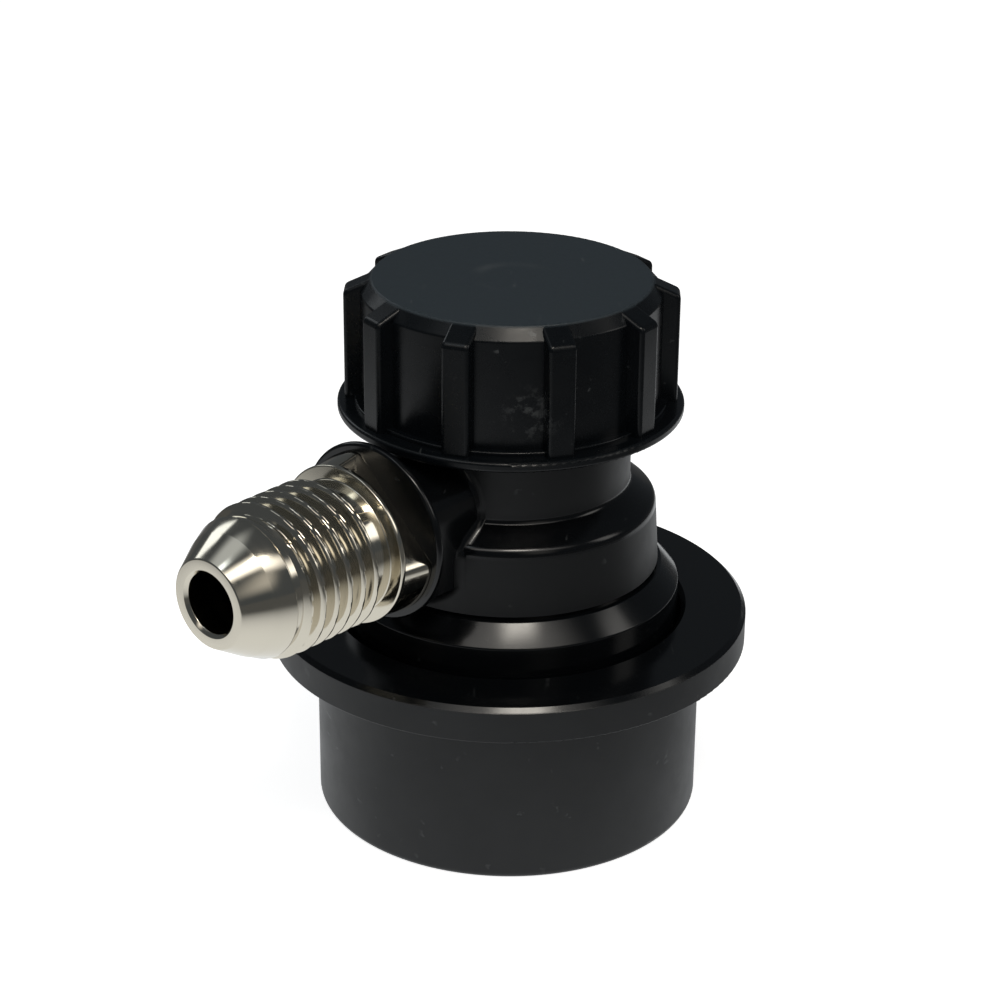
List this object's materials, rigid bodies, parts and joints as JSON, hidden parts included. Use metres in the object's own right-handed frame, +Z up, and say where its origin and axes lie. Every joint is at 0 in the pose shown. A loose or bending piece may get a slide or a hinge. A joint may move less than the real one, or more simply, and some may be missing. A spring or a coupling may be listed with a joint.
{
  "type": "keg coupler",
  "caption": "Ball-lock keg coupler: lifting flanged collar, ribbed screw cap and a side outlet ending in a stainless male flare thread.",
  "frame": {"origin": "centre of the post socket's mouth, on the face that the coupler stands on", "axes": "+Z up through the socket, neck and cap; the outlet points to the front left, 41 degrees from -Y towards -X"},
  "size_m": [0.0406, 0.0433, 0.0418],
  "materials": {
    "body_plastic": "glossy moulded black, satin on the lettering band and neck",
    "collar_plastic": "satin black, glossy on top of the flange",
    "cap_plastic": "satin black with faint scuffs",
    "pin_plastic": "smooth moulded acetal",
    "stainless": "turned and polished",
    "spring_steel": "drawn wire",
    "ball_steel": "polished",
    "seal_rubber": "matte"
  },
  "bodies": {
    "base": {"body": "body_plastic", "flare_insert": "stainless", "insert_seal": "seal_rubber", "collar_spring": "spring_steel", "poppet_spring": "spring_steel", "stop_washer": "stainless", "snap_ring": "spring_steel"},
    "sleeve": {"collar": "collar_plastic"},
    "valve": {"poppet_pin": "pin_plastic", "poppet_seal": "seal_rubber"},
    "gasket": {"cap_gasket": "seal_rubber"},
    "screw_cap": {"cap": "cap_plastic"},
    "lock_ball_1": {"ball_1": "ball_steel"},
    "lock_ball_2": {"ball_2": "ball_steel"},
    "lock_ball_3": {"ball_3": "ball_steel"},
    "lock_ball_4": {"ball_4": "ball_steel"}
  },
  "joints": [
    {"name": "collar_lift", "type": "slide", "parent": "base", "child": "sleeve", "axis": [0, 0, 1], "range_m": [0, 0.003], "stiffness_N_per_m": 500, "springref_m": -0.006, "deforming": ["collar_spring"]},
    {"name": "poppet_lift", "type": "slide", "parent": "base", "child": "valve", "axis": [0, 0, 1], "range_m": [0, 0.003], "stiffness_N_per_m": 200, "springref_m": -0.005, "deforming": ["poppet_spring"]},
    {"name": "cap_rise", "type": "slide", "parent": "base", "child": "gasket", "axis": [0, 0, 1], "range_m": [0, 0.006]},
    {"name": "cap_turn", "type": "hinge", "parent": "gasket", "child": "screw_cap", "pos_m": [0, 0, 0.0418], "axis": [0, 0, 1], "range_deg": [0, 1080.5]},
    {"name": "ball_1_out", "type": "slide", "parent": "base", "child": "lock_ball_1", "axis": [0.9976, 0.0698, 0], "range_m": [0, 0.00096]},
    {"name": "ball_2_out", "type": "slide", "parent": "base", "child": "lock_ball_2", "axis": [-0.0698, 0.9976, 0], "range_m": [0, 0.00096]},
    {"name": "ball_3_out", "type": "slide", "parent": "base", "child": "lock_ball_3", "axis": [-0.9976, -0.0698, 0], "range_m": [0, 0.00096]},
    {"name": "ball_4_out", "type": "slide", "parent": "base", "child": "lock_ball_4", "axis": [0.0698, -0.9976, 0], "range_m": [0, 0.00096]}
  ],
  "couplings": [
    {"joint": "cap_turn", "follows": "cap_rise", "rad_per_m": 3141.6},
    {"joint": "ball_1_out", "follows": "collar_lift", "ratio": 0.31667},
    {"joint": "ball_2_out", "follows": "collar_lift", "ratio": 0.31667},
    {"joint": "ball_3_out", "follows": "collar_lift", "ratio": 0.31667},
    {"joint": "ball_4_out", "follows": "collar_lift", "ratio": 0.31667}
  ]
}
